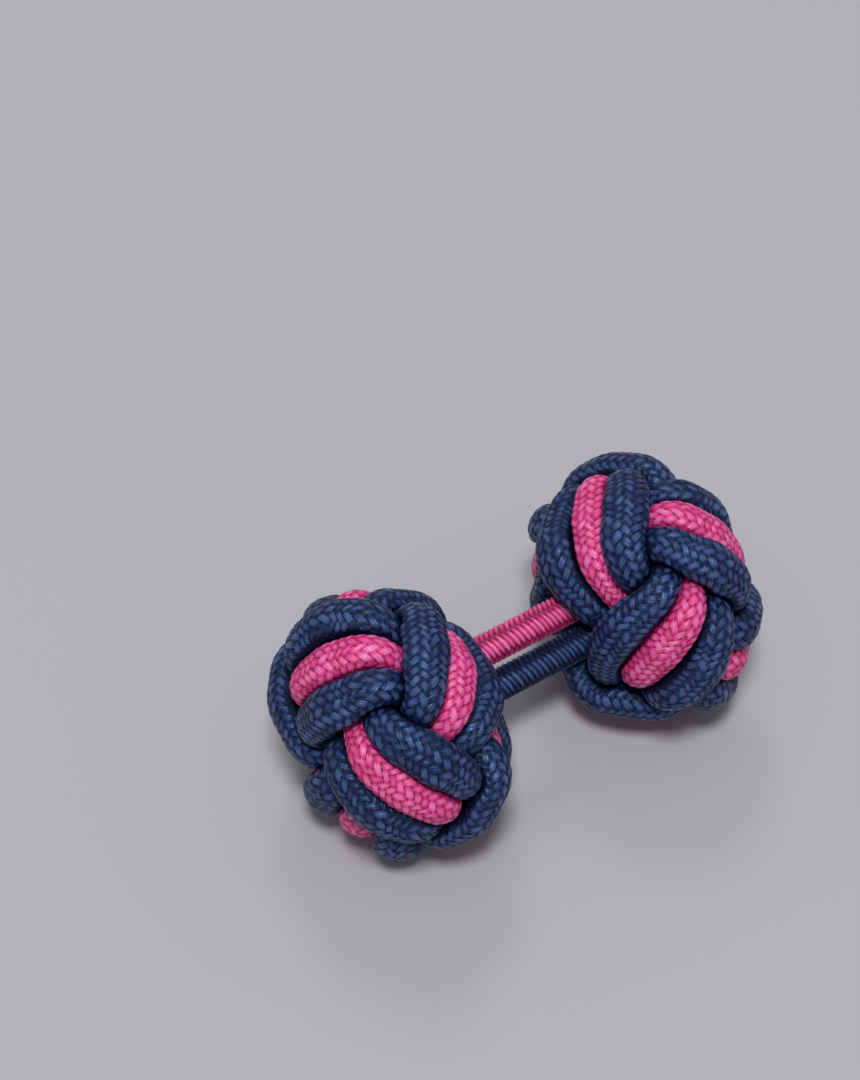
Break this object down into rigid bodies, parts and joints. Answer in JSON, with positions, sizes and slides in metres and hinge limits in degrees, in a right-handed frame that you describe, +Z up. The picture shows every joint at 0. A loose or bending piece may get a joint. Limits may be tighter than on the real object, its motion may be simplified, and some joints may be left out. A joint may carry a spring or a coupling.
{
  "type": "silk knot cufflink",
  "caption": "Cufflink of two braided-cord ball knots on a short stretchy link of parallel cords, worn through the buttonholes of a shirt cuff.",
  "frame": {"origin": "on the surface that the cufflink lies on, below the middle of the link", "axes": "+X along the link from knot A to knot B, +Z up, +Y away from the viewer of the picture"},
  "size_m": [0.0248, 0.0122, 0.0118],
  "materials": {
    "navy_braid": "satin plaited navy cord",
    "pink_braid": "satin plaited hot pink cord",
    "elastic": "covered elastic core, hidden",
    "filler": "bare filler bead, hidden",
    "thread": "white binding thread, hidden"
  },
  "bodies": {
    "knot_a": {"knot_a_navy_outer_braid": "navy_braid", "knot_a_navy_outer_elastic": "elastic", "knot_a_pink_braid": "pink_braid", "knot_a_pink_elastic": "elastic", "knot_a_navy_inner_braid": "navy_braid", "knot_a_navy_inner_elastic": "elastic", "knot_a_filler": "filler", "knot_a_binding": "thread"},
    "link_root": {"link_pink_braid": "pink_braid"},
    "link_middle": {"link_pink_elastic": "elastic", "link_navy_elastic": "elastic"},
    "link_tip": {"link_navy_braid": "navy_braid"},
    "knot_b": {"knot_b_navy_outer_braid": "navy_braid", "knot_b_navy_outer_elastic": "elastic", "knot_b_pink_braid": "pink_braid", "knot_b_pink_elastic": "elastic", "knot_b_navy_inner_braid": "navy_braid", "knot_b_navy_inner_elastic": "elastic", "knot_b_filler": "filler", "knot_b_binding": "thread"}
  },
  "joints": [
    {"name": "side_bend", "type": "hinge", "parent": "knot_a", "child": "link_root", "pos_m": [-0.0017, 0, 0.00576], "axis": [0, 0, 1], "range_deg": [-30, 30], "stiffness_Nm_per_rad": 0.0015, "deforming": ["link_pink_braid", "link_pink_elastic", "link_navy_braid", "link_navy_elastic"]},
    {"name": "link_twist", "type": "hinge", "parent": "link_root", "child": "link_middle", "pos_m": [0, 0, 0.00576], "axis": [1, 0, 0], "range_deg": [-45, 45], "stiffness_Nm_per_rad": 0.0003, "deforming": ["link_pink_braid", "link_pink_elastic", "link_navy_braid", "link_navy_elastic"]},
    {"name": "lift_bend", "type": "hinge", "parent": "link_middle", "child": "link_tip", "pos_m": [0.0017, 0, 0.00576], "axis": [0, 1, 0], "range_deg": [-30, 30], "stiffness_Nm_per_rad": 0.0015, "deforming": ["link_pink_braid", "link_pink_elastic", "link_navy_braid", "link_navy_elastic"]},
    {"name": "link_stretch", "type": "slide", "parent": "link_tip", "child": "knot_b", "axis": [1, 0, 0], "range_m": [0, 0.0025], "stiffness_N_per_m": 80, "deforming": ["link_pink_braid", "link_pink_elastic", "link_navy_braid", "link_navy_elastic"]}
  ]
}
